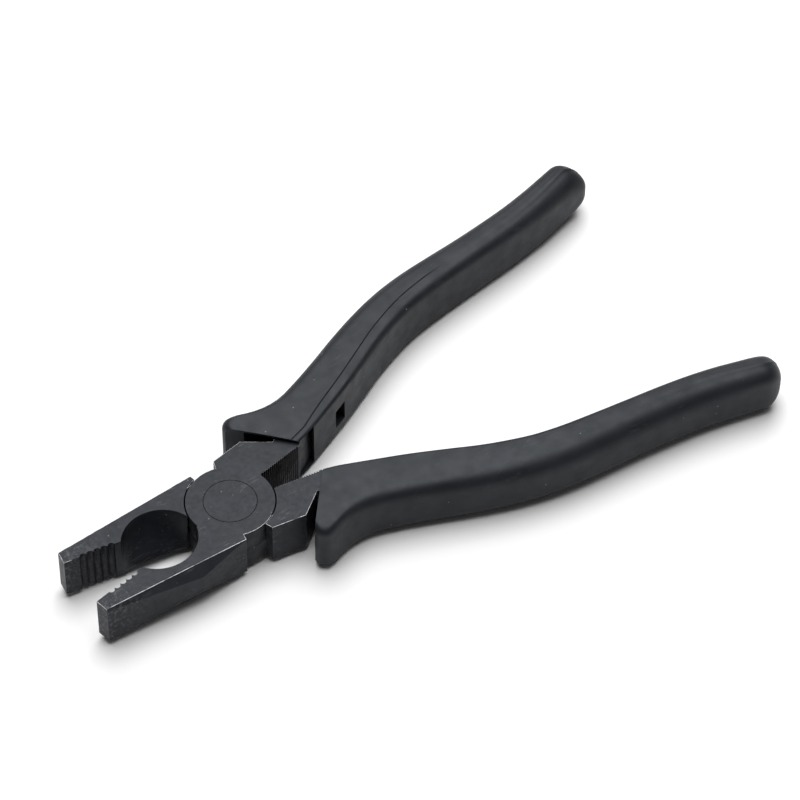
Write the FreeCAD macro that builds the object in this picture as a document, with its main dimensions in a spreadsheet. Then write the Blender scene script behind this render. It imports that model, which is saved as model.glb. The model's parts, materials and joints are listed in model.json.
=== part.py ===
import FreeCAD, Part
import math
import os
import re
import Sketcher

# Two-lever hand pliers with a half-lap joint, one flush rivet and two moulded grips.
#
# Frame: +Z is the rivet's axis, up out of the upper face of the joint. The origin is on that axis
# at the joint's underside. +X runs from the rivet to the jaws, along the middle of the open levers.
#
# Both levers are the same forging. It is drawn closed and right way up, with its jaw on +Y, its
# handle on -Y and its half of the lap on top. The lower lever is that forging turned over about X.
# Only the throat differs: in both it is ground from the tool's upper face to a cutting edge below.

# Driving sizes in millimetres and degrees: alias, value, meaning.
SIZES = [
    ("open_half_angle", 9.34, "swing of each lever away from closed, as the part is stored"),
    ("joint_thickness", 13.2, "height of the jaws, the joint and the necks"),
    ("joint_radius", 12.0, "radius of the half-lap disc"),
    ("recess_gap", 0.25, "radial gap between a disc and the other lever's recess"),
    ("lap_gap", 0.06, "gap between the two halves of the lap"),
    ("rivet_head_radius", 7.2, "radius of the flush rivet head"),
    ("rivet_shank_radius", 4.5, "radius of the rivet's shank"),
    ("rivet_head_depth", 2.2, "depth of the conical head"),
    ("rivet_running_gap", 0.04, "gap between the rivet and the lever that turns on it"),
    ("jaw_length", 47.7, "from the rivet's axis to the front of the jaws"),
    ("jaw_face_gap", 0.05, "each jaw face's distance from the closing line"),
    ("jaw_tip_width", 3.9, "width of one jaw's top face at its front"),
    ("jaw_rear_reach", 5.95, "how far the jaw's rear shoulder is ahead of the rivet's axis"),
    ("jaw_rear_width", 12.45, "width of one jaw at its rear shoulder"),
    ("jaw_shoulder_reach", 5.3, "where the jaw's rear shoulder leaves the disc"),
    ("jaw_tip_flare", 0.3, "how far the side wall stands outside the top face at the front"),
    ("jaw_belly_reach", 20.5, "where the jaw's side wall stands furthest out"),
    ("jaw_belly_bulge", 2.0, "how far that wall stands outside the edge of the top face"),
    ("facet_slope", 2.0, "drop of the jaw's side facets for each unit outwards"),
    ("facet_reach", 6.0, "depth to which a facet is cut where there is metal"),
    ("facet_overrun", 0.5, "how far a facet's cut runs past the jaw's faces"),
    ("throat_middle", 21.9, "middle of the round throat between the jaws"),
    ("throat_length", 19.2, "opening of the throat along the jaw, at the upper face"),
    ("throat_depth", 6.1, "depth of the throat in one jaw, at the upper face"),
    ("bowl_length", 18.6, "length of the throat at the level of its bowl"),
    ("bowl_depth", 3.3, "depth of the throat at that level"),
    ("bowl_height", 6.0, "height of that level above the lower face"),
    ("edge_length", 17.6, "length of the cutting edge at the bottom of the throat"),
    ("edge_setback", 0.1, "the cutting edge's distance behind the jaw face"),
    ("edge_height", 1.5, "height of the cutting edge above the lower face"),
    ("relief_depth", 1.3, "depth of the relief under the cutting edge, at the lower face"),
    ("throat_overrun", 1.0, "how far the throat's cuts run out in front of the jaw face"),
    ("flute_count", 5, "round grooves across each jaw face"),
    ("flute_pitch", 2.0, "spacing of the grooves"),
    ("flute_radius", 0.95, "radius of a groove"),
    ("flute_depth", 0.74, "depth of a groove below the jaw face"),
    ("flute_first", 42.3, "how far the front groove is from the rivet's axis"),
    ("neck_front", 5.0, "how far behind the rivet's axis the neck leaves the disc"),
    ("neck_shoulder_reach", 6.2, "how far back the neck's shoulder stands"),
    ("neck_width", 13.15, "distance of the neck's outer side from the closing line"),
    ("neck_corner_reach", 15.95, "end of the neck's straight outer side"),
    ("neck_taper", 6.2, "length of the neck's inward taper, equal both ways"),
    ("neck_inner", 0.8, "distance of the neck's toothed edge from the closing line"),
    ("teeth_count", 18, "fine teeth along the neck"),
    ("teeth_pitch", 0.75, "spacing of the teeth"),
    ("teeth_depth", 0.42, "depth of the teeth"),
    ("teeth_first", 12.6, "how far behind the rivet's axis the first tooth gap is"),
    ("neck_step_reach", 26.3, "where the toothed edge steps in under the grip"),
    ("neck_step", 1.2, "depth of that step"),
    ("shank_reach", 34.0, "how far back the full-thickness steel runs inside the grip"),
    ("tang_thickness", 7.0, "thickness of the tang"),
    ("mouth_inner_reach", 26.6, "inner corner of the grip's slanted mouth"),
    ("mouth_inner_side", 1.6, "that corner's distance from the closing line"),
    ("mouth_outer_reach", 15.8, "outer corner of the mouth"),
    ("mouth_outer_side", 19.0, "that corner's distance from the closing line"),
    ("guard_radius", 3.0, "rounding of the guard's outer corner"),
    ("guard_reach", 19.6, "where that rounding meets the grip's outer side"),
    ("guard_side", 21.6, "the guard's greatest distance from the closing line"),
    ("mouth_overrun", 6.0, "how far the mouth's cut runs past the grip"),
    ("pocket_side", 14.8, "outer side of the pocket behind the mouth"),
    ("pocket_reach", 31.0, "rear wall of that pocket"),
    ("pocket_taper", 2.6, "how far that pocket narrows towards its rear wall"),
    ("notch_reach", 33.3, "rear edge of the notch in the grip's inner side"),
    ("notch_depth", 2.4, "depth of the notch below the line of the neck's teeth"),
    ("window_front", 44.0, "front edge of the window in the grip's inner side"),
    ("window_length", 4.5, "length of the window"),
    ("window_height", 6.6, "height of the window"),
    ("window_low", 2.4, "height of the window's lower edge above the steel's underside"),
    ("end_inner_round", 3.6, "rounding of the rear end's inner corner, seen from above"),
    ("end_inner_side", 15.8, "where that rounding leaves the grip's inner side"),
    ("end_outer_round", 6.0, "rounding of the rear end's outer corner, seen from above"),
    ("end_outer_side", 25.9, "where that rounding leaves the grip's outer side"),
]

# Sections along the grip: distance behind the rivet's axis, distance of the inner and outer side
# from the closing line, the rounding of the inner and outer edges, and how far the grip stands
# above and below the steel.
GRIP_STATIONS = [
    (10.0, 0.2, 22.4, 0.8, 1.2, 1.4),
    (19.6, 0.6, 21.6, 0.8, 1.4, 1.4),
    (24.0, 0.9, 19.4, 0.8, 1.6, 1.4),
    (30.0, 1.7, 17.8, 0.9, 2.0, 1.4),
    (40.0, 4.1, 18.6, 1.0, 2.8, 1.45),
    (50.0, 6.6, 20.9, 1.2, 3.6, 1.55),
    (60.0, 9.5, 23.5, 1.5, 4.2, 1.65),
    (75.0, 13.4, 26.5, 2.0, 4.5, 1.75),
    (90.0, 15.2, 27.3, 2.2, 4.5, 1.75),
    (110.0, 14.8, 25.8, 2.4, 4.5, 1.75),
    (130.0, 14.1, 24.9, 2.6, 4.6, 1.75),
    (144.0, 15.0, 25.4, 3.2, 4.8, 1.75),
    (156.0, 16.2, 26.2, 3.8, 4.8, 1.75),
]

# Tang inside the grip: distance behind the shank's end, then its inner and outer side.
TANG_STATIONS = [
    (0.0, 4.4, 11.0),
    (26.0, 12.6, 19.6),
    (50.0, 17.6, 24.0),
    (102.0, 17.0, 21.6),
]

doc = FreeCAD.newDocument("Pliers")
sheet = doc.addObject("Spreadsheet::Sheet", "Sizes")
for row, (alias, size, meaning) in enumerate(SIZES, 1):
    sheet.set(f"A{row}", meaning)
    sheet.set(f"B{row}", str(size))
    sheet.setAlias(f"B{row}", alias)
row = len(SIZES)
STATION_WORDS = ("reach", "inner", "outer", "inner_round", "outer_round", "wall")
for table, stations in (("grip", GRIP_STATIONS), ("tang", TANG_STATIONS)):
    for number, station in enumerate(stations):
        for word, size in zip(STATION_WORDS, station):
            row += 1
            sheet.set(f"A{row}", f"{table} station {number}, {word}")
            sheet.set(f"B{row}", str(size))
            sheet.setAlias(f"B{row}", f"{table}_{word}_at_{number}")
doc.recompute()
ALIASES = {sheet.getAlias(f"B{number}") for number in range(1, row + 1)}


def bound(formula):
    """The formula with each alias in it pointed at the sheet."""
    return re.sub(r"[a-z]\w*", lambda word: f"Sizes.{word[0]}" if word[0] in ALIASES else word[0], formula)


def value(formula):
    """What the formula comes to with the sheet's present sizes."""
    return float(sheet.evalExpression(formula))


def arc_between(start, end, radius, turn):
    """The short arc from start to end: turn is 1 if it runs counter-clockwise, -1 if clockwise."""
    chord = end - start
    height = math.sqrt(max(radius**2 - (chord.Length / 2) ** 2, 0.0))
    left = FreeCAD.Vector(-chord.y, chord.x, 0).normalize()
    centre = (start + end) / 2 + left * height * turn
    first, last = (start, end) if turn > 0 else (end, start)
    angles = [math.atan2(p.y - centre.y, p.x - centre.x) for p in (first, last)]
    circle = Part.Circle(centre, FreeCAD.Vector(0, 0, 1), radius)
    return Part.ArcOfCircle(circle, angles[0], angles[1])


def bind(sketch, kind, elements, formula):
    """Adds a dimension to the sketch and ties it to the sheet."""
    index = sketch.addConstraint(Sketcher.Constraint(kind, *elements, value(formula)))
    sketch.setExpression(f"Constraints[{index}]", bound(formula))


def pin(sketch, point, across, up):
    """Ties a point of the sketch to its two formulas, or to an axis where the formula is 0."""
    for kind, formula, axis in (("DistanceX", across, -2), ("DistanceY", up, -1)):
        if formula == "0":
            sketch.addConstraint(Sketcher.Constraint("PointOnObject", *point, axis))
        else:
            bind(sketch, kind, (-1, 1, *point), formula)


def draw(sketch, corners):
    """A closed outline. A corner is its two formulas and, if an arc leaves it, a radius and a turn."""
    places = [FreeCAD.Vector(value(corner[0]), value(corner[1]), 0) for corner in corners]
    starts = []
    ends = []
    for index, corner in enumerate(corners):
        start, end = places[index], places[(index + 1) % len(corners)]
        if len(corner) == 2:
            edge = sketch.addGeometry(Part.LineSegment(start, end), False)
            turn = 1
        else:
            turn = corner[3]
            edge = sketch.addGeometry(arc_between(start, end, value(corner[2]), turn), False)
            bind(sketch, "Radius", (edge,), corner[2])
        starts.append((edge, 1 if turn > 0 else 2))
        ends.append((edge, 2 if turn > 0 else 1))
    for index, corner in enumerate(corners):
        sketch.addConstraint(Sketcher.Constraint("Coincident", *ends[index - 1], *starts[index]))
        pin(sketch, starts[index], corner[0], corner[1])


def draw_circle(sketch, across, up, radius):
    """A circle with its centre and radius tied to the sheet."""
    centre = FreeCAD.Vector(value(across), value(up), 0)
    circle = sketch.addGeometry(Part.Circle(centre, FreeCAD.Vector(0, 0, 1), value(radius)), False)
    bind(sketch, "Radius", (circle,), radius)
    pin(sketch, (circle, 3), across, up)


def sketch_on(body, name, role, height="0"):
    """A sketch on one of the body's own origin planes, or parallel to it at a height."""
    plane = next(part for part in body.Origin.OriginFeatures if part.Role == role)
    sketch = body.newObject("Sketcher::SketchObject", name)
    sketch.AttachmentSupport = [(plane, "")]
    sketch.MapMode = "FlatFace"
    sketch.setExpression("AttachmentOffset.Base.z", bound(height))
    return sketch


def pad(body, name, sketch, height):
    """Raises the sketch by the height."""
    feature = body.newObject("PartDesign::Pad", name)
    feature.Profile = sketch
    feature.setExpression("Length", bound(height))
    return feature


def pocket(body, name, sketch, depth, up=True):
    """Cuts the sketch out by the depth, along the sketch's normal or against it."""
    before = solid_volume(body)
    feature = body.newObject("PartDesign::Pocket", name)
    feature.Profile = sketch
    feature.Reversed = up
    feature.setExpression("Length", bound(depth))
    doc.recompute()
    if solid_volume(body) > before - 1e-3:
        raise RuntimeError(f"{name} cuts nothing")
    return feature


def solid_volume(body):
    doc.recompute()
    return body.Shape.Volume


def repeat(body, name, feature, count, pitch):
    """Repeats a cut towards -X at the pitch."""
    before = solid_volume(body)
    pattern = body.newObject("PartDesign::LinearPattern", name)
    pattern.Originals = [feature]
    pattern.Direction = (feature.Profile[0], ["H_Axis"])
    pattern.Reversed = True
    pattern.setExpression("Occurrences", bound(count))
    pattern.setExpression("Length", bound(f"({count} - 1) * {pitch}"))
    body.Tip = pattern
    doc.recompute()
    if solid_volume(body) > before - 1e-3:
        raise RuntimeError(f"{name} repeats nothing")
    return pattern


def place(body, turned_over):
    """Swings a finished body from closed and right way up to where its lever lies at rest."""
    swing = "rotation(vector(0; 0; 1); {}open_half_angle)"
    if turned_over:
        lift = "vector(0; 0; joint_thickness)"
        turn = swing.format("-") + " * rotation(vector(1; 0; 0); 180)"
    else:
        lift = "vector(0; 0; 0)"
        turn = swing.format("")
    body.setExpression("Placement", bound(f"placement({lift}; {turn})"))


def rivet_profile(gap):
    """Half section of the rivet with its conical heads, or of its hole where there is a gap."""
    return [
        ("0", "0"),
        (f"rivet_head_radius + {gap}", "0"),
        (f"rivet_shank_radius + {gap}", "rivet_head_depth"),
        (f"rivet_shank_radius + {gap}", "joint_thickness - rivet_head_depth"),
        (f"rivet_head_radius + {gap}", "joint_thickness"),
        ("0", "joint_thickness"),
    ]


# How fast the outer edge of the jaw's top face runs outwards towards the joint.
JAW_EDGE_SLOPE = "(jaw_rear_width - jaw_tip_width) / (jaw_length - jaw_rear_reach)"


def head_outline():
    """Jaw, disc and neck in plan, starting at the jaw's tip and going back along its face."""
    face = "jaw_face_gap"
    belly = f"jaw_tip_width + (jaw_length - jaw_belly_reach) * {JAW_EDGE_SLOPE} + jaw_belly_bulge"
    return [
        ("jaw_length", face),
        (f"sqrt(joint_radius ^ 2 - {face} ^ 2)", face, "joint_radius", -1),
        ("-neck_front", "-sqrt(joint_radius ^ 2 - neck_front ^ 2)"),
        ("-neck_shoulder_reach", "-neck_width"),
        ("-neck_corner_reach", "-neck_width"),
        ("-neck_corner_reach - neck_taper", "-neck_width + neck_taper"),
        ("-shank_reach", "-tang_outer_at_0"),
        ("-shank_reach", "-tang_inner_at_0"),
        ("-neck_step_reach - neck_step", "-neck_inner - neck_step"),
        ("-neck_step_reach", "-neck_inner"),
        ("-sqrt(joint_radius ^ 2 - neck_inner ^ 2)", "-neck_inner", "joint_radius", -1),
        ("jaw_shoulder_reach", "sqrt(joint_radius ^ 2 - jaw_shoulder_reach ^ 2)"),
        ("jaw_rear_reach", "jaw_rear_width"),
        ("jaw_belly_reach", belly),
        ("jaw_length", "jaw_tip_width + jaw_tip_flare"),
    ]


def tang_outline():
    """The tang in plan, shared by the forging and by the slot that holds it in the grip."""
    numbers = range(len(TANG_STATIONS))
    inner = [(f"-shank_reach - tang_reach_at_{n}", f"-tang_inner_at_{n}") for n in numbers]
    outer = [(f"-shank_reach - tang_reach_at_{n}", f"-tang_outer_at_{n}") for n in numbers]
    return inner + outer[::-1]


def throat_cut(body, name, turned_over, levels):
    """A lofted cut behind the jaw face. A level is the cut's length, depth and height above the floor."""
    face, front = "jaw_face_gap", "jaw_face_gap - throat_overrun"
    sections = []
    for number, (length, depth, height) in enumerate(levels):
        if turned_over:
            height = f"joint_thickness - {height}"
        section = sketch_on(body, f"{name}Section{number}", "XY_Plane", height)
        radius = f"(({length} / 2) ^ 2 + {depth} ^ 2) / (2 * {depth})"
        draw(section, [
            (f"throat_middle + {length} / 2", face, radius, 1),
            (f"throat_middle - {length} / 2", face),
            (f"throat_middle - {length} / 2", front),
            (f"throat_middle + {length} / 2", front),
        ])
        sections.append(section)
    before = solid_volume(body)
    loft = body.newObject("PartDesign::SubtractiveLoft", name)
    loft.Profile = sections[0]
    loft.Sections = sections[1:]
    if solid_volume(body) > before - 1e-3:
        raise RuntimeError(f"{name} cuts nothing")


def facet_corners(edge, inward):
    """What a side facet takes off, seen along the jaw: inward is the sign towards mid-thickness."""
    above, below = f"{edge} - {inward} * facet_overrun", f"{edge} + {inward} * facet_reach"
    return [
        ("-facet_overrun / facet_slope", above),
        ("facet_reach / facet_slope", below),
        ("facet_reach", below),
        ("facet_reach", above),
    ]


def lever(name, rivet_gap, turned_over):
    """One forging: jaw, lap disc, neck and tang."""
    body = doc.addObject("PartDesign::Body", name)
    body.Label = name

    outline = sketch_on(body, "HeadOutline", "XY_Plane")
    draw(outline, head_outline())
    pad(body, "Head", outline, "joint_thickness")

    outline = sketch_on(body, "TangOutline", "XY_Plane", "(joint_thickness - tang_thickness) / 2")
    draw(outline, tang_outline())
    pad(body, "Tang", outline, "tang_thickness")

    edge = ("edge_length", "edge_setback", "edge_height")
    rim = ("throat_length", "throat_depth", "joint_thickness")
    throat_cut(body, "Throat", turned_over, [edge, ("bowl_length", "bowl_depth", "bowl_height"), rim])
    throat_cut(body, "Relief", turned_over, [edge, ("edge_length", "relief_depth", "0")])

    recess = sketch_on(body, "RecessOutline", "XY_Plane")
    draw_circle(recess, "0", "0", "joint_radius + recess_gap")
    pocket(body, "LapRecess", recess, "(joint_thickness + lap_gap) / 2")

    flute = sketch_on(body, "FluteOutline", "XY_Plane")
    draw_circle(flute, "flute_first", "jaw_face_gap + flute_depth - flute_radius", "flute_radius")
    cut = pocket(body, "Flute", flute, "joint_thickness")
    repeat(body, "Flutes", cut, "flute_count", "flute_pitch")

    tooth = sketch_on(body, "ToothOutline", "XY_Plane")
    draw(tooth, [
        ("-teeth_first + teeth_pitch / 2", "-neck_inner"),
        ("-teeth_first", "-neck_inner - teeth_depth"),
        ("-teeth_first - teeth_pitch / 2", "-neck_inner"),
        ("-teeth_first", "-neck_inner + teeth_depth"),
    ])
    cut = pocket(body, "ToothGap", tooth, "joint_thickness")
    repeat(body, "Teeth", cut, "teeth_count", "teeth_pitch")

    facet = sketch_on(body, "FacetOutlines", "YZ_Plane", "jaw_length")
    run = FreeCAD.Placement(FreeCAD.Vector(), FreeCAD.Rotation(FreeCAD.Vector(0, 1, 0), -1))
    facet.AttachmentOffset = run
    facet.setExpression("AttachmentOffset.Base.x", bound("jaw_tip_width"))
    facet.setExpression("AttachmentOffset.Rotation.Angle", bound(f"-atan({JAW_EDGE_SLOPE})"))
    draw(facet, facet_corners("joint_thickness", "-1"))
    draw(facet, facet_corners("0", "1"))
    pocket(body, "Facets", facet, "jaw_length", up=False)

    hole = sketch_on(body, "RivetHoleSection", "XZ_Plane")
    draw(hole, rivet_profile(rivet_gap))
    before = solid_volume(body)
    cut = body.newObject("PartDesign::Groove", "RivetHole")
    cut.Profile = hole
    cut.ReferenceAxis = (hole, ["V_Axis"])
    cut.Angle = 360.0
    if solid_volume(body) > before - 1e-3:
        raise RuntimeError("RivetHole cuts nothing")
    place(body, turned_over)
    return body


def rivet(name):
    """The rivet, upset into both levers and dressed flush."""
    body = doc.addObject("PartDesign::Body", name)
    body.Label = name
    section = sketch_on(body, "RivetSection", "XZ_Plane")
    draw(section, rivet_profile("0"))
    solid = body.newObject("PartDesign::Revolution", "Rivet")
    solid.Profile = section
    solid.ReferenceAxis = (section, ["V_Axis"])
    solid.Angle = 360.0
    place(body, False)
    return body


def section_corners(number):
    """One cross-section of the grip: a rectangle with its inner and outer edges rounded."""
    inner, outer = f"-grip_inner_at_{number}", f"-grip_outer_at_{number}"
    soft, round_in = f"grip_outer_round_at_{number}", f"grip_inner_round_at_{number}"
    low, high = f"-grip_wall_at_{number}", f"joint_thickness + grip_wall_at_{number}"
    return [
        (f"{outer} + {soft}", low),
        (f"{inner} - {round_in}", low, round_in, 1),
        (inner, f"{low} + {round_in}"),
        (inner, f"{high} - {round_in}", round_in, 1),
        (f"{inner} - {round_in}", high),
        (f"{outer} + {soft}", high, soft, 1),
        (outer, f"{high} - {soft}"),
        (outer, f"{low} + {soft}", soft, 1),
    ]


def grip(name, turned_over):
    """One moulded grip: an S-shaped sleeve with a slanted mouth, a guard and an inner window."""
    body = doc.addObject("PartDesign::Body", name)
    body.Label = name
    sections = []
    for number in range(len(GRIP_STATIONS)):
        section = sketch_on(body, f"Section{number}", "YZ_Plane", f"-grip_reach_at_{number}")
        draw(section, section_corners(number))
        sections.append(section)
    loft = body.newObject("PartDesign::AdditiveLoft", "Sleeve")
    loft.Profile = sections[0]
    loft.Sections = sections[1:]
    doc.recompute()

    mouth = sketch_on(body, "MouthOutline", "XY_Plane", "-mouth_overrun")
    slant = "(mouth_inner_reach - mouth_outer_reach) / (mouth_outer_side - mouth_inner_side)"
    draw(mouth, [
        (f"-mouth_inner_reach - mouth_overrun * {slant}", "-mouth_inner_side + mouth_overrun"),
        ("-mouth_outer_reach", "-mouth_outer_side", "guard_radius", 1),
        ("-guard_reach", "-guard_side"),
        ("-guard_reach", "-guard_side - mouth_overrun"),
        ("mouth_overrun", "-guard_side - mouth_overrun"),
        ("mouth_overrun", "-mouth_inner_side + mouth_overrun"),
    ])
    pocket(body, "Mouth", mouth, "joint_thickness + 2 * mouth_overrun")

    cavity = sketch_on(body, "PocketOutline", "XY_Plane")
    draw(cavity, [
        ("-mouth_outer_reach", "-pocket_side"),
        ("-pocket_reach", "-pocket_side + pocket_taper"),
        ("-shank_reach", "-tang_outer_at_0"),
        ("-shank_reach", "-tang_inner_at_0"),
        ("-notch_reach", "-neck_inner - notch_depth"),
        ("-notch_reach", "mouth_overrun"),
        ("-mouth_outer_reach", "mouth_overrun"),
    ])
    pocket(body, "Pocket", cavity, "joint_thickness")

    slot = sketch_on(body, "TangSlotOutline", "XY_Plane", "(joint_thickness - tang_thickness) / 2")
    draw(slot, tang_outline())
    pocket(body, "TangSlot", slot, "tang_thickness")

    window = sketch_on(body, "WindowOutline", "XY_Plane", "window_low")
    slope = "(tang_inner_at_1 - tang_inner_at_0) / (tang_reach_at_1 - tang_reach_at_0)"
    floor = f"tang_inner_at_0 + (window_front - shank_reach) * {slope}"
    draw(window, [
        ("-window_front", f"-({floor})"),
        ("-window_front - window_length", f"-({floor}) - window_length * {slope}"),
        ("-window_front - window_length", "0"),
        ("-window_front", "0"),
    ])
    pocket(body, "Window", window, "window_height")

    end = sketch_on(body, "EndOutline", "XY_Plane", "-mouth_overrun")
    length = f"grip_reach_at_{len(GRIP_STATIONS) - 1}"
    draw(end, [
        (f"-{length} + end_inner_round", "-end_inner_side", "end_inner_round", 1),
        (f"-{length}", "-end_inner_side - end_inner_round"),
        (f"-{length}", "-end_outer_side + end_outer_round", "end_outer_round", 1),
        (f"-{length} + end_outer_round", "-end_outer_side"),
        (f"-{length} + end_outer_round", "-end_outer_side - mouth_overrun"),
        (f"-{length} - mouth_overrun", "-end_outer_side - mouth_overrun"),
        (f"-{length} - mouth_overrun", "-end_inner_side + mouth_overrun"),
        (f"-{length} + end_inner_round", "-end_inner_side + mouth_overrun"),
    ])
    pocket(body, "End", end, "joint_thickness + 2 * mouth_overrun")

    place(body, turned_over)
    return body


pieces = [
    lever("upper_lever", "0", False),
    lever("lower_lever", "rivet_running_gap", True),
    rivet("pivot_rivet"),
    grip("upper_lever_grip", False),
    grip("lower_lever_grip", True),
]
doc.recompute()

faults = [item.Name for item in doc.Objects if "Invalid" in item.State or "Error" in item.State]
faults += [piece.Label for piece in pieces if piece.Shape.isNull() or not piece.Shape.isValid()]
faults += [piece.Label for piece in pieces if len(piece.Shape.Solids) != 1]
if faults:
    raise RuntimeError(f"these failed: {faults}")

os.makedirs("parts", exist_ok=True)
for piece in pieces:
    piece.Shape.exportStep(os.path.join("parts", f"{piece.Label}.step"))
    box = piece.Shape.BoundBox
    size = f"{box.XLength:.1f} x {box.YLength:.1f} x {box.ZLength:.1f} mm"
    print(f"{piece.Label}: {piece.Shape.Volume / 1000:.2f} cm3, {size}")
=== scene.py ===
import json
import math

import bmesh
import bpy
import numpy as np
from mathutils import Matrix, Vector


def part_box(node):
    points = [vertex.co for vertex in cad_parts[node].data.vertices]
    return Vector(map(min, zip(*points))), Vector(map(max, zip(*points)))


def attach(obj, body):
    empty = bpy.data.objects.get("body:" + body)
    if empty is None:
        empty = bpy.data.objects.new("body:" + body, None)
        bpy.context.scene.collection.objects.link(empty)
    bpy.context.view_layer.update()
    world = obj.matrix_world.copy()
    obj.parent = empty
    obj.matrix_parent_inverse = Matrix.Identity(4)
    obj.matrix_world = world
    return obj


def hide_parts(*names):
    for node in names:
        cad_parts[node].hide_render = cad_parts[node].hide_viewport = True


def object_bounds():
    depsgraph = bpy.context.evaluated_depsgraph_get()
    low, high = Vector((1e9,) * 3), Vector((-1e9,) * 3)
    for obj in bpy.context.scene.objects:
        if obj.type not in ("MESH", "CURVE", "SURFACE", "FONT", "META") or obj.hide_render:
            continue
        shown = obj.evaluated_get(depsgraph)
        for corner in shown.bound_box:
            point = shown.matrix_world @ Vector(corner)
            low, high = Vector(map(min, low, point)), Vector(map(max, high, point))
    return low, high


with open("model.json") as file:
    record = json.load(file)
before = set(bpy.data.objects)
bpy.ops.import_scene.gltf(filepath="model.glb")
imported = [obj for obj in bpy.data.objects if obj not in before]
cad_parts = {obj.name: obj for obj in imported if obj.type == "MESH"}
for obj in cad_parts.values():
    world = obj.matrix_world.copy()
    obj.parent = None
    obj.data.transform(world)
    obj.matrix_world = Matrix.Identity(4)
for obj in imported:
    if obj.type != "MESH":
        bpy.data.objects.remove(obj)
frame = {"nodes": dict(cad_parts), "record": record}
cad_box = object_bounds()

# Everything below is in metres, in the CAD frame: +Z is the rivet's axis, +X runs to the jaws.
MM = 0.001
ROOT, SWINGING = "root", "lower_half"

# What the frame says: the steel's thickness, and how far each lever is swung open.
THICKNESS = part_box("pivot_rivet")[1].z
JAW_AXIS = next(m["axis"] for m in frame["record"]["mounts"] if m["name"] == "upper_jaw_face")
HALF_OPEN = math.atan2(JAW_AXIS[0], -JAW_AXIS[1])


# --- Grips --------------------------------------------------------------------------------------
# A grip is drawn on its closed lever, in millimetres: reach runs back from the rivet's axis, and
# side is the distance from the closing line. Each table gives a side's shape along the reach.
GRIP_LENGTH = 155.9
INNER_SIDE = [(20, 0.7), (26, 1.3), (30, 1.8), (35, 2.9), (40, 4.1), (50, 6.6), (60, 9.5), (68, 11.9),
              (75, 13.5), (82, 14.7), (90, 15.2), (100, 15.1), (110, 14.75), (120, 14.3), (130, 14.1),
              (138, 14.3), (146, 14.9), (157, 15.7)]
OUTER_SIDE = [(18.8, 21.75), (20.6, 21.3), (22.4, 20.35), (24.6, 19.3), (27.3, 18.35), (30, 17.8),
              (34, 17.6), (40, 18.6), (50, 20.9), (60, 23.5), (68, 25.3), (75, 26.5), (82, 27.2),
              (90, 27.3), (100, 26.65), (110, 25.8), (120, 25.2), (130, 24.9), (138, 25.1), (146, 25.6),
              (157, 26.3)]
HALF_HEIGHT = [(15, 7.8), (30, 7.8), (40, 7.83), (50, 7.9), (60, 7.98), (75, 8.05), (157, 8.05)]
INNER_ROUND = [(15, 0.7), (30, 0.9), (45, 1.2), (60, 1.7), (80, 2.3), (110, 2.8), (135, 3.9), (157, 6.0)]
OUTER_ROUND = [(15, 2.4), (22, 2.7), (30, 3.1), (40, 3.6), (50, 4.0), (65, 4.5), (135, 4.6), (157, 3.6)]
MOUTH_INNER = 26.6
MOUTH_OUTER = 15.8
MOUTH_BLEND = 24.0
GUARD_RADIUS = 3.0
END_INNER_ROUND = 3.2
END_OUTER_ROUND = 6.6
END_RIM_ROUND = 7.4
END_SWEEP = 89  # degrees round the end: the last ring stops just short of a point
# A corner's round takes at most these shares of the section's width and height.
ROUND_WIDTH_SHARE, ROUND_HEIGHT_SHARE = 0.49, 0.95
CROWN = 0.2
GROOVE_IN = [(26, 1.0), (35, 2.1), (45, 3.1), (58, 3.7), (157, 3.7)]
GROOVE_WIDTH, GROOVE_DEPTH = 0.45, 0.16
GROOVE_END, GROOVE_FADE = 104.0, 12.0
# On a narrow top face the groove keeps to these shares of the face's width.
GROOVE_NEAREST, GROOVE_FURTHEST, GROOVE_WIDEST = 0.06, 0.6, 0.05
CORNER_STEPS = 8
FACE_STEPS = 7
END_STEPS = 12
# The rings are close together behind the mouth and then grow apart, up to the pitch.
MOUTH_RINGS = [0, 0.12, 0.35, 0.7, 1.15, 1.7, 2.4, 3.2]
RING_GROWTH, RING_PITCH = 0.35, 1.6
SHARP_ANGLE = 32
GRIP_WELD = 0.002


def curve_value(table, reach):
    """A smooth curve through the table's points, read at the reach."""
    xs = [point[0] for point in table]
    ys = [point[1] for point in table]
    if reach <= xs[0]:
        return ys[0]
    if reach >= xs[-1]:
        return ys[-1]
    slopes = np.gradient(ys, xs)
    i = int(np.searchsorted(xs, reach)) - 1
    span = xs[i + 1] - xs[i]
    t = (reach - xs[i]) / span
    rise = (2 * t**3 - 3 * t**2 + 1) * ys[i] + (3 * t**2 - 2 * t**3) * ys[i + 1]
    bend = (t**3 - 2 * t**2 + t) * slopes[i] + (t**3 - t**2) * slopes[i + 1]
    return rise + bend * span


def smooth_step(t):
    t = min(max(t, 0.0), 1.0)
    return t * t * (3 - 2 * t)


def quarter(t):
    """How far a quarter circle has fallen at the share t of its radius."""
    return 1 - math.sqrt(max(0.0, 1 - min(max(t, 0.0), 1.0) ** 2))


def outer_side(reach):
    """The outer side's distance from the closing line, with the guard's rounded corner in front."""
    first, side = OUTER_SIDE[0]
    if reach < first:
        return side - GUARD_RADIUS * quarter((first - reach) / GUARD_RADIUS)
    return curve_value(OUTER_SIDE, reach)


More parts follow.
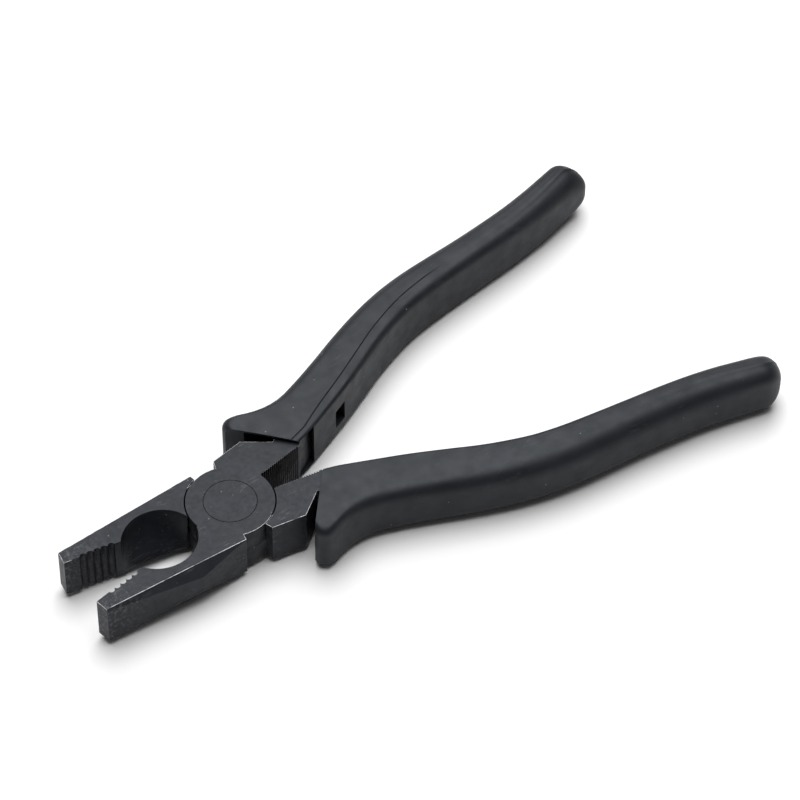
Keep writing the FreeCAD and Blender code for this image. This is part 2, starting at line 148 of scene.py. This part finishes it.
def grip_section(inner_reach, outer_reach):
    """One closed ring of the grip's skin, as (reach, side, height above mid-thickness)."""
    inner = curve_value(INNER_SIDE, inner_reach)
    outer = outer_side(outer_reach)
    height = curve_value(HALF_HEIGHT, inner_reach)
    to_end = GRIP_LENGTH - inner_reach
    inner += END_INNER_ROUND * quarter(1 - to_end / END_INNER_ROUND)
    outer -= END_OUTER_ROUND * quarter(1 - to_end / END_OUTER_ROUND)
    height -= END_RIM_ROUND * quarter(1 - to_end / END_RIM_ROUND)
    width = outer - inner
    rounds = (curve_value(INNER_ROUND, inner_reach), curve_value(OUTER_ROUND, outer_reach))
    rounds = [min(radius, ROUND_WIDTH_SHARE * width, ROUND_HEIGHT_SHARE * height) for radius in rounds]
    groove = GROOVE_DEPTH * (1 - smooth_step((inner_reach - GROOVE_END + GROOVE_FADE) / GROOVE_FADE))
    points = []
    corners = [(rounds[0], rounds[0], 1, 180), (width - rounds[1], rounds[1], 1, 90),
               (width - rounds[1], rounds[1], -1, 0), (rounds[0], rounds[0], -1, -90)]
    for number, (across, radius, side, start) in enumerate(corners):
        for step in range(CORNER_STEPS + 1):
            angle = math.radians(start - 90 * step / CORNER_STEPS)
            up = side * (height - radius) + radius * math.sin(angle)
            points.append((across + radius * math.cos(angle), up))
        following = corners[(number + 1) % 4]
        if number == 0:
            left, right = across, following[0]
            face = right - left
            nearest, furthest = GROOVE_NEAREST * face, GROOVE_FURTHEST * face
            line = left + min(max(curve_value(GROOVE_IN, inner_reach) - left, nearest), furthest)
            half = min(GROOVE_WIDTH / 2, GROOVE_WIDEST * face)
            rest = right - line - half
            places = [line - half, line, line + half]
            places += [line + half + rest * (n + 1) / FACE_STEPS for n in range(FACE_STEPS - 1)]
            for u in places:
                crown = CROWN * (1 - ((u - left) / face * 2 - 1) ** 2)
                points.append((u, height + crown - (groove if u == line else 0)))
        elif number == 2:
            for n in range(1, FACE_STEPS + 2):
                share = n / (FACE_STEPS + 2)
                u = across + (following[0] - across) * share
                points.append((u, -height - CROWN * (1 - (share * 2 - 1) ** 2)))
        else:
            for n in range(1, FACE_STEPS):
                share = n / FACE_STEPS
                low, high = -height + radius, height - radius
                z = high + (low - high) * share if number == 1 else low + (high - low) * share
                points.append((width if number == 1 else 0, z))
    ring = []
    for u, z in points:
        share = u / width
        ring.append((inner_reach + (outer_reach - inner_reach) * share, inner + u, z))
    return ring


def grip_skin():
    """The closed outer skin of a grip, from its slanted mouth to its rounded rear end."""
    skew = MOUTH_INNER - MOUTH_OUTER
    run = GRIP_LENGTH - MOUTH_INNER
    travelled = list(MOUTH_RINGS)
    while travelled[-1] < run - END_RIM_ROUND - RING_PITCH:
        travelled.append(travelled[-1] + min(RING_PITCH, RING_GROWTH * travelled[-1]))
    for step in range(END_STEPS + 1):
        angle = math.radians(END_SWEEP * step / END_STEPS)
        travelled.append(run - END_RIM_ROUND * (1 - math.sin(angle)))
    mesh = bmesh.new()
    rings = []
    for distance in travelled:
        outer_reach = MOUTH_OUTER + distance + skew * smooth_step(distance / MOUTH_BLEND)
        section = grip_section(MOUTH_INNER + distance, outer_reach)
        rings.append([mesh.verts.new(lever_point(*point)) for point in section])
    for near, far in zip(rings, rings[1:]):
        for i, vertex in enumerate(near):
            j = (i + 1) % len(near)
            mesh.faces.new((vertex, near[j], far[j], far[i]))
    for ring in (rings[0][::-1], rings[-1]):
        mesh.faces.new(ring)
    bmesh.ops.recalc_face_normals(mesh, faces=mesh.faces)
    return mesh


def lever_point(reach, side, up):
    """A point of a closed, right-way-up lever, in metres, from its reach, side and height."""
    return Vector((-reach * MM, -side * MM, THICKNESS / 2 + up * MM))


def prism(name, outline, low, high):
    """A closed block with the outline in plan, for cutting: its points are (reach, side)."""
    mesh = bmesh.new()
    rings = [[mesh.verts.new(lever_point(reach, side, up)) for reach, side in outline] for up in (low, high)]
    count = len(outline)
    for i in range(count):
        j = (i + 1) % count
        mesh.faces.new((rings[0][i], rings[0][j], rings[1][j], rings[1][i]))
    mesh.faces.new(rings[0][::-1])
    mesh.faces.new(rings[1])
    bmesh.ops.recalc_face_normals(mesh, faces=mesh.faces)
    return mesh_object(name, mesh)


def mesh_object(name, mesh):
    data = bpy.data.meshes.new(name)
    mesh.to_mesh(data)
    mesh.free()
    made = bpy.data.objects.new(name, data)
    bpy.context.scene.collection.objects.link(made)
    return made


def baked_mesh(thing):
    """Applies the object's modifiers to its mesh."""
    bpy.context.view_layer.update()
    graph = bpy.context.evaluated_depsgraph_get()
    data = bpy.data.meshes.new_from_object(thing.evaluated_get(graph))
    thing.modifiers.clear()
    thing.data = data


def cut(thing, cutter):
    """Takes the cutter's space out of the object."""
    modifier = thing.modifiers.new("cut", "BOOLEAN")
    modifier.operation = "DIFFERENCE"
    modifier.solver = "EXACT"
    modifier.object = cutter
    baked_mesh(thing)
    bpy.data.objects.remove(cutter)


# What is cut out of a grip, as outlines of (reach, side): room for the neck, the tang and the window.
STEEL_HALF = THICKNESS / 2 / MM
POCKET = [(8, 14.8), (15.8, 14.8), (31, 12.2), (34, 11), (34, 4.4), (33.3, 3.2), (33.3, -6), (8, -6)]
LIP_GAP = 0.7
TANG_HALF = 3.5
TANG = [(33.9, 4.4), (60, 12.6), (84, 17.6), (136, 17.0), (136, 21.6), (84, 24.0), (60, 19.6), (33.9, 11)]
WINDOW = [(44.0, 7.7), (48.5, 9.1), (48.5, 0), (44.0, 0)]
WINDOW_LOW, WINDOW_HIGH = -4.2, 2.4


def shade(thing):
    """Smooth faces, with an edge kept sharp where it turns by more than SHARP_ANGLE degrees."""
    mesh = bmesh.new()
    mesh.from_mesh(thing.data)
    for face in mesh.faces:
        face.smooth = True
    for edge in mesh.edges:
        edge.smooth = len(edge.link_faces) == 2 and edge.calc_face_angle(0) < math.radians(SHARP_ANGLE)
    mesh.to_mesh(thing.data)
    mesh.free()


def make_grip(name, node, body, turned_over):
    """A moulded grip that stands for its CAD node and rides on its lever's body."""
    grip = mesh_object(name, grip_skin())
    cut(grip, prism("pocket", POCKET, -STEEL_HALF - LIP_GAP, STEEL_HALF + LIP_GAP))
    cut(grip, prism("tang_slot", TANG, -TANG_HALF, TANG_HALF))
    cut(grip, prism("window", WINDOW, WINDOW_LOW, WINDOW_HIGH))
    mesh = bmesh.new()
    mesh.from_mesh(grip.data)
    bmesh.ops.remove_doubles(mesh, verts=mesh.verts, dist=GRIP_WELD * MM)
    mesh.to_mesh(grip.data)
    mesh.free()
    shade(grip)
    if turned_over:
        flip = Matrix.Translation((0, 0, THICKNESS)) @ Matrix.Rotation(-HALF_OPEN, 4, "Z")
        grip.data.transform(flip @ Matrix.Rotation(math.pi, 4, "X"))
    else:
        grip.data.transform(Matrix.Rotation(HALF_OPEN, 4, "Z"))
    grip.data.materials.clear()
    grip.data.materials.append(grip_plastic())
    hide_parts(node)
    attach(grip, body)
    return grip


# --- Materials ----------------------------------------------------------------------------------
PLASTIC_DARK, PLASTIC_LIGHT = (0.010, 0.011, 0.013), (0.015, 0.016, 0.020)
PLASTIC_RUBBED, PLASTIC_DUST = (0.06, 0.063, 0.07), (0.16, 0.165, 0.18)
OXIDE_DARK, OXIDE_LIGHT = (0.010, 0.011, 0.014), (0.018, 0.019, 0.024)
OXIDE_SCRATCH, OXIDE_SCUFF, OXIDE_NICK = (0.16, 0.16, 0.165), (0.09, 0.09, 0.095), (0.15, 0.15, 0.155)
# The bare edge colour is rubbed-off steel, made near-white so that it also paints in the highlight where
# light catches the edges.
EDGE_OXIDE, EDGE_BARE_AND_GLINT = (0.008, 0.008, 0.010), (0.95, 0.95, 0.96)
FLOOR_COLOUR = (0.9, 0.9, 0.9, 1)
HIGHLIGHT_TINT = (0.87, 0.93, 1.0, 1)


def new_material(name, roughness, metallic, specular):
    """A material with one shader, its node tree and its output."""
    material = bpy.data.materials.new(name)
    material.use_nodes = True
    tree = material.node_tree
    shader = tree.nodes["Principled BSDF"]
    shader.inputs["Roughness"].default_value = roughness
    shader.inputs["Metallic"].default_value = metallic
    shader.inputs["Specular IOR Level"].default_value = specular
    shader.inputs["Specular Tint"].default_value = HIGHLIGHT_TINT
    return material, tree, shader


def add(tree, kind, **values):
    """A new node with its settings, and its input sockets by name where the key is in capitals."""
    node = tree.nodes.new(kind)
    for key, value in values.items():
        if key[0].isupper():
            node.inputs[key.replace("_", " ")].default_value = value
        else:
            setattr(node, key, value)
    return node


def object_place(tree, stretch=(1, 1, 1), turn=0.0):
    """The surface's place on the piece in millimetres, stretched and turned about Z."""
    place = add(tree, "ShaderNodeTexCoord")
    mapping = add(tree, "ShaderNodeMapping")
    mapping.inputs["Scale"].default_value = [s / MM for s in stretch]
    mapping.inputs["Rotation"].default_value = (0, 0, turn)
    tree.links.new(place.outputs["Object"], mapping.inputs["Vector"])
    return mapping.outputs["Vector"]


def noise(tree, place, scale, detail=3.0, roughness=0.55):
    node = add(tree, "ShaderNodeTexNoise", Scale=scale, Detail=detail, Roughness=roughness)
    tree.links.new(place, node.inputs["Vector"])
    return node.outputs["Fac"]


def ramp(tree, factor, *stops):
    """Maps the factor through stops of (place, grey or colour)."""
    node = add(tree, "ShaderNodeValToRGB")
    tree.links.new(factor, node.inputs["Fac"])
    elements = node.color_ramp.elements
    while len(elements) < len(stops):
        elements.new(0.5)
    for element, (position, colour) in zip(elements, stops):
        element.position = position
        element.color = (colour,) * 3 + (1,) if isinstance(colour, (int, float)) else (*colour, 1)
    return node.outputs["Color"]


def mix(tree, factor, first, second, blend="MIX"):
    """Mixes two colours. Each may be a socket or a plain colour."""
    node = add(tree, "ShaderNodeMix", data_type="RGBA", blend_type=blend)
    for name, value in (("Factor", factor), ("A", first), ("B", second)):
        socket = next(s for s in node.inputs if s.name == name and (s.type == "RGBA") == (name != "Factor"))
        if isinstance(value, bpy.types.NodeSocket):
            tree.links.new(value, socket)
        else:
            socket.default_value = value if name == "Factor" else (*value, 1)
    return next(s for s in node.outputs if s.type == "RGBA")


def specks(tree, place, scale, size, amount):
    """Small round marks: 1 on a mark. The amount is the share of cells that have one."""
    cells = add(tree, "ShaderNodeTexVoronoi", Scale=scale)
    tree.links.new(place, cells.inputs["Vector"])
    spot = ramp(tree, cells.outputs["Distance"], (size * 0.5, 1.0), (size, 0.0))
    chosen = add(tree, "ShaderNodeSeparateColor")
    tree.links.new(cells.outputs["Color"], chosen.inputs["Color"])
    pick = ramp(tree, chosen.outputs["Red"], (amount * 0.9, 1.0), (amount, 0.0))
    return mix(tree, 1.0, spot, pick, "MULTIPLY")


def scratches(tree, turn, length, scale, width):
    """Thin straight marks that run one way and break up along their length."""
    place = object_place(tree, (1 / length, 1, 1), turn)
    lines = noise(tree, place, scale, 2.0, 0.5)
    return ramp(tree, lines, (0.5 - width, 0.0), (0.5, 1.0), (0.5 + width, 0.0))


def bump(tree, shader, height, strength, depth):
    node = add(tree, "ShaderNodeBump", Strength=strength, Distance=depth)
    tree.links.new(height, node.inputs["Height"])
    tree.links.new(node.outputs["Normal"], shader.inputs["Normal"])


MATERIALS = {}


def grip_plastic():
    """Finely matt black plastic, mottled by handling, with dust specks and light rubbed marks."""
    if "grip" in MATERIALS:
        return MATERIALS["grip"]
    material, tree, shader = new_material("grip_plastic", 0.5, 0.0, 0.28)
    place = object_place(tree)
    cloud = ramp(tree, noise(tree, place, 0.09, 4.0), (0.35, PLASTIC_DARK), (0.68, PLASTIC_LIGHT))
    rubbed = scratches(tree, 0.35, 14.0, 0.5, 0.012)
    faint = ramp(tree, noise(tree, place, 0.12, 2.0), (0.52, 0.0), (0.72, 0.5))
    colour = mix(tree, mix(tree, 1.0, rubbed, faint, "MULTIPLY"), cloud, PLASTIC_RUBBED)
    dust = specks(tree, place, 0.28, 0.07, 0.3)
    colour = mix(tree, dust, colour, PLASTIC_DUST)
    tree.links.new(colour, shader.inputs["Base Color"])
    rough = ramp(tree, noise(tree, place, 0.25, 4.0), (0.3, 0.44), (0.7, 0.58))
    tree.links.new(rough, shader.inputs["Roughness"])
    bump(tree, shader, noise(tree, place, 3.2, 4.0, 0.6), 0.35, 0.03 * MM)
    MATERIALS["grip"] = material
    return material


def black_oxide(name):
    """Black-oxide forging: satin blue-black with fine grinding marks, specks and a few scratches."""
    if name in MATERIALS:
        return MATERIALS[name]
    material, tree, shader = new_material(name, 0.45, 0.0, 0.22)
    place = object_place(tree)
    cloud = ramp(tree, noise(tree, place, 0.18, 5.0, 0.6), (0.32, OXIDE_DARK), (0.7, OXIDE_LIGHT))
    grain = ramp(tree, noise(tree, place, 3.0, 3.0, 0.7), (0.35, 0.8), (0.65, 1.2))
    colour = mix(tree, 0.5, cloud, grain, "MULTIPLY")
    for turn, where in ((0.5, 0.11), (-0.75, 0.16)):
        lines = scratches(tree, turn, 9.0, 0.7, 0.012)
        patch = ramp(tree, noise(tree, place, where, 2.0), (0.54, 0.0), (0.72, 0.6))
        colour = mix(tree, mix(tree, 1.0, lines, patch, "MULTIPLY"), colour, OXIDE_SCRATCH)
    reach = add(tree, "ShaderNodeSeparateXYZ")
    tree.links.new(object_place(tree, (1 / BARE_AND_GLINT_REACH, 0, 0)), reach.inputs["Vector"])
    tip = ramp(tree, reach.outputs["X"], (0.72, 0.0), (1.0, 0.9))
    scuffed = ramp(tree, noise(tree, place, 1.1, 5.0, 0.75), (0.5, 0.0), (0.62, 1.0))
    colour = mix(tree, mix(tree, 1.0, scuffed, tip, "MULTIPLY"), colour, OXIDE_SCUFF)
    nicks = specks(tree, place, 0.4, 0.1, 0.35)
    colour = mix(tree, nicks, colour, OXIDE_NICK)
    tree.links.new(colour, shader.inputs["Base Color"])
    rough = ramp(tree, noise(tree, place, 0.7, 4.0), (0.3, 0.38), (0.7, 0.55))
    tree.links.new(rough, shader.inputs["Roughness"])
    bump(tree, shader, noise(tree, place, 2.4, 5.0, 0.65), 0.4, 0.03 * MM)
    MATERIALS[name] = material
    return material


# Edges are painted bare and bright only this far out, in millimetres: beyond the side, or beyond the reach.
# That brightness is rubbed-off oxide and a painted highlight together.
BARE_AND_GLINT_SIDE = 10.4
BARE_AND_GLINT_REACH = 45.5
# The toothed necks begin this far behind the rivet's axis; their ridges are rubbed a little.
TEETH_REACH = 12.2


def worn_edge():
    """Edge steel: oxide rubbed off in patches on the outer top edges and tips, a little on the teeth. The
    near-white bare colour also paints in the highlight of light catching the top edges.
    """
    if "worn" in MATERIALS:
        return MATERIALS["worn"]
    material, tree, shader = new_material("worn_edge_steel", 0.4, 0.0, 0.5)
    place = object_place(tree)
    patches = ramp(tree, noise(tree, place, 0.3, 4.0, 0.7), (0.36, 0.1), (0.56, 1.0))
    split = add(tree, "ShaderNodeSeparateXYZ")
    tree.links.new(object_place(tree, (1, 1, MM / THICKNESS)), split.inputs["Vector"])
    # Painted highlight by height: top edges full, bottom edges half, the edges down the sides dark.
    level = ramp(tree, split.outputs["Z"], (0.01, 0.5), (0.03, 0.03), (0.965, 0.03), (0.985, 1.0))
    spread = add(tree, "ShaderNodeVectorMath", operation="ABSOLUTE")
    tree.links.new(object_place(tree, (1 / BARE_AND_GLINT_REACH, 1 / BARE_AND_GLINT_SIDE, 0)), spread.inputs[0])
    sides = add(tree, "ShaderNodeSeparateXYZ")
    tree.links.new(spread.outputs["Vector"], sides.inputs["Vector"])
    outer = ramp(tree, sides.outputs["Y"], (0.98, 0.0), (1.0, 1.0))
    tips = ramp(tree, sides.outputs["X"], (0.98, 0.0), (1.0, 1.0))
    beyond = mix(tree, 1.0, outer, tips, "LIGHTEN")
    back = add(tree, "ShaderNodeSeparateXYZ")
    tree.links.new(object_place(tree, (-1 / TEETH_REACH, 0, 0)), back.inputs["Vector"])
    ridges = ramp(tree, back.outputs["X"], (0.97, 0.0), (1.0, 0.14))
    worn = mix(tree, 1.0, mix(tree, 1.0, level, beyond, "MULTIPLY"), ridges, "LIGHTEN")
    bare_and_glint_share = mix(tree, 1.0, patches, worn, "MULTIPLY")
    # Near-white edges: rubbed-off oxide together with a painted highlight.
    colour = mix(tree, bare_and_glint_share, EDGE_OXIDE, EDGE_BARE_AND_GLINT)
    tree.links.new(colour, shader.inputs["Base Color"])
    gloss = ramp(tree, beyond, (0.0, 0.02), (1.0, 0.3))
    tree.links.new(gloss, shader.inputs["Specular IOR Level"])
    bump(tree, shader, noise(tree, place, 2.0, 3.0), 0.3, 0.02 * MM)
    MATERIALS["worn"] = material
    return material


# --- Steel --------------------------------------------------------------------------------------
LEVER_EDGE, RIVET_EDGE = 0.09, 0.12
EDGE_SEGMENTS, EDGE_ANGLE = 2, 28
FLAT_ANGLE = 0.5
STEEL_WELD = 0.001


def dress_steel(node, edge_width):
    """Gives a CAD node its oxide finish and small bevels along its sharp edges, coloured as worn bare steel
    with a painted highlight.
    """
    steel = frame["nodes"][node]
    steel.data.materials.clear()
    steel.data.materials.append(black_oxide("black_oxide_" + node))
    steel.data.materials.append(worn_edge())
    weld = steel.modifiers.new("weld", "WELD")
    weld.merge_threshold = STEEL_WELD * MM
    flat = steel.modifiers.new("flat_faces", "DECIMATE")
    flat.decimate_type = "DISSOLVE"
    flat.angle_limit = math.radians(FLAT_ANGLE)
    edges = steel.modifiers.new("edges", "BEVEL")
    edges.width = edge_width
    edges.segments = EDGE_SEGMENTS
    edges.limit_method = "ANGLE"
    edges.angle_limit = math.radians(EDGE_ANGLE)
    edges.use_clamp_overlap = False
    edges.material = 1
    edges.harden_normals = True


# --- Studio -------------------------------------------------------------------------------------
FLOOR_SIZE = 8.0
LIGHT_SIZE = 1.3
OVERHEAD_RISE, OVERHEAD_BACK, OVERHEAD_POWER = 1.5, 0.2, 27
BEHIND_RISE, BEHIND_BACK, BEHIND_POWER = 1.25, 1.3, 17
ROOM_LIGHT = 0.08


def make_floor():
    """A plain pale floor that the grips rest on."""
    low = cad_box[0].z
    bpy.ops.mesh.primitive_plane_add(size=FLOOR_SIZE, location=(0, 0, low))
    floor = bpy.context.object
    floor.name = "floor"
    material, tree, shader = new_material("floor_white", 0.9, 0.0, 0.0)
    shader.inputs["Base Color"].default_value = FLOOR_COLOUR
    floor.data.materials.append(material)


def make_light(name, place, aim, size, power):
    """A square soft light that faces the aim."""
    data = bpy.data.lights.new(name, "AREA")
    data.shape = "SQUARE"
    data.size = size
    data.energy = power
    light = bpy.data.objects.new(name, data)
    bpy.context.scene.collection.objects.link(light)
    light.location = place
    light.rotation_mode = "QUATERNION"
    light.rotation_quaternion = (Vector(aim) - Vector(place)).to_track_quat("-Z", "Y")


CAMERA_AIM = Vector((-57.18 * MM, -2.66 * MM, THICKNESS))
CAMERA_AZIMUTH = math.radians(54.11)
CAMERA_ELEVATION = math.radians(48.92)
CAMERA_ROLL = math.radians(0.257)
CAMERA_DISTANCE = 1.0806
CAMERA_LENS = 180.0
CAMERA_SENSOR = 36.0
CAMERA_CLIP = 20.0


def make_camera():
    away = Vector((math.cos(CAMERA_ELEVATION) * math.cos(CAMERA_AZIMUTH),
                   math.cos(CAMERA_ELEVATION) * math.sin(CAMERA_AZIMUTH), math.sin(CAMERA_ELEVATION)))
    data = bpy.data.cameras.new("camera")
    data.lens = CAMERA_LENS
    data.sensor_width = CAMERA_SENSOR
    data.clip_end = CAMERA_CLIP
    camera = bpy.data.objects.new("camera", data)
    bpy.context.scene.collection.objects.link(camera)
    turn = (-away).to_track_quat("-Z", "Y").to_matrix().to_4x4() @ Matrix.Rotation(CAMERA_ROLL, 4, "Z")
    camera.matrix_world = Matrix.Translation(CAMERA_AIM + away * CAMERA_DISTANCE) @ turn
    bpy.context.scene.camera = camera


def make_studio():
    """A large soft light overhead, one behind the tool, and a dim room."""
    make_floor()
    behind = Vector((-math.cos(CAMERA_AZIMUTH), -math.sin(CAMERA_AZIMUTH), 0))
    up = Vector((0, 0, 1))
    overhead_place = CAMERA_AIM + up * OVERHEAD_RISE + behind * OVERHEAD_BACK
    behind_place = CAMERA_AIM + behind * BEHIND_BACK + up * BEHIND_RISE
    make_light("overhead", overhead_place, CAMERA_AIM, LIGHT_SIZE, OVERHEAD_POWER)
    make_light("behind", behind_place, CAMERA_AIM, LIGHT_SIZE, BEHIND_POWER)
    world = bpy.data.worlds.new("studio")
    world.use_nodes = True
    backdrop = world.node_tree.nodes["Background"]
    backdrop.inputs["Color"].default_value = (1, 1, 1, 1)
    backdrop.inputs["Strength"].default_value = ROOM_LIGHT
    bpy.context.scene.world = world
    bpy.context.scene.view_settings.view_transform = "Standard"


make_grip("upper_grip", "upper_lever_grip", ROOT, False)
make_grip("lower_grip", "lower_lever_grip", SWINGING, True)
dress_steel("upper_lever", LEVER_EDGE * MM)
dress_steel("lower_lever", LEVER_EDGE * MM)
dress_steel("pivot_rivet", RIVET_EDGE * MM)
make_studio()
make_camera()
